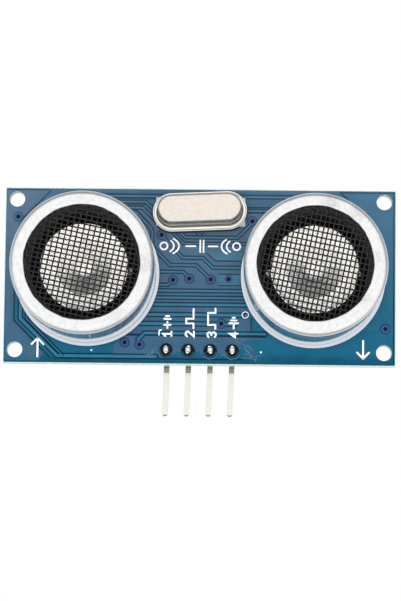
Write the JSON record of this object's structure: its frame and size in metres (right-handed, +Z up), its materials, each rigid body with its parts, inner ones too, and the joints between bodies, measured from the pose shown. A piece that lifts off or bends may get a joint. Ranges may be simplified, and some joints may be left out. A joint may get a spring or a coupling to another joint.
{
  "type": "ultrasonic distance sensor",
  "caption": "Small circuit board with two round ultrasonic transducers in front, a flat crystal between them, an angled pin header below, and the ranging electronics on its back.",
  "frame": {"origin": "centre of the rectangle of the four mounting holes, on the back face of the circuit board", "axes": "+Z up the board, away from the header pins' free ends; the transducers look along -Y, so +Y points behind the board; +X along the board's length, from the transmitter to the receiver"},
  "size_m": [0.0452, 0.0179, 0.026],
  "materials": {
    "solder_mask": "gloss",
    "copper": "satin",
    "header_plastic": "matte",
    "pin_metal": "satin",
    "solder": "gloss",
    "crystal_metal": "satin",
    "seal_glass": "gloss",
    "quartz": "gloss",
    "insulator": "matte",
    "can_aluminium": "satin",
    "mesh_black": "matte",
    "housing_plastic": "matte",
    "potting_resin": "matte",
    "silicone": "matte",
    "piezo_ceramic": "satin",
    "diaphragm_metal": "satin",
    "cone_aluminium": "satin",
    "terminal_metal": "satin",
    "wire_copper": "satin",
    "ic_epoxy": "matte",
    "ic_leads": "satin",
    "resistor_body": "satin",
    "capacitor_body": "satin",
    "chip_ends": "satin"
  },
  "bodies": {
    "root": {"amplifier_ic_body": "ic_epoxy", "amplifier_ic_leads": "ic_leads", "capacitor_bodies": "capacitor_body", "capacitor_ends": "chip_ends", "circuit_board": "solder_mask", "controller_ic_body": "ic_epoxy", "controller_ic_leads": "ic_leads", "crystal_base": "crystal_metal", "crystal_blank": "quartz", "crystal_can": "crystal_metal", "crystal_clips": "crystal_metal", "crystal_insulator": "insulator", "crystal_leads": "pin_metal", "crystal_seals": "seal_glass", "crystal_solder": "solder", "driver_ic_body": "ic_epoxy", "driver_ic_leads": "ic_leads", "echo_pin": "pin_metal", "ground_pin": "pin_metal", "header_housing": "header_plastic", "header_solder": "solder", "receiver_can": "can_aluminium", "receiver_cone": "cone_aluminium", "receiver_diaphragm": "diaphragm_metal", "receiver_housing": "housing_plastic", "receiver_lead_wires": "wire_copper", "receiver_mesh": "mesh_black", "receiver_piezo": "piezo_ceramic", "receiver_potting": "potting_resin", "receiver_solder": "solder", "receiver_support_ring": "silicone", "receiver_terminals": "terminal_metal", "resistor_bodies": "resistor_body", "resistor_ends": "chip_ends", "supply_pin": "pin_metal", "transistor_body": "ic_epoxy", "transistor_leads": "ic_leads", "transmitter_can": "can_aluminium", "transmitter_cone": "cone_aluminium", "transmitter_diaphragm": "diaphragm_metal", "transmitter_housing": "housing_plastic", "transmitter_lead_wires": "wire_copper", "transmitter_mesh": "mesh_black", "transmitter_piezo": "piezo_ceramic", "transmitter_potting": "potting_resin", "transmitter_solder": "solder", "transmitter_support_ring": "silicone", "transmitter_terminals": "terminal_metal", "trigger_pin": "pin_metal", "via_barrels": "copper"}
  },
  "joints": []
}
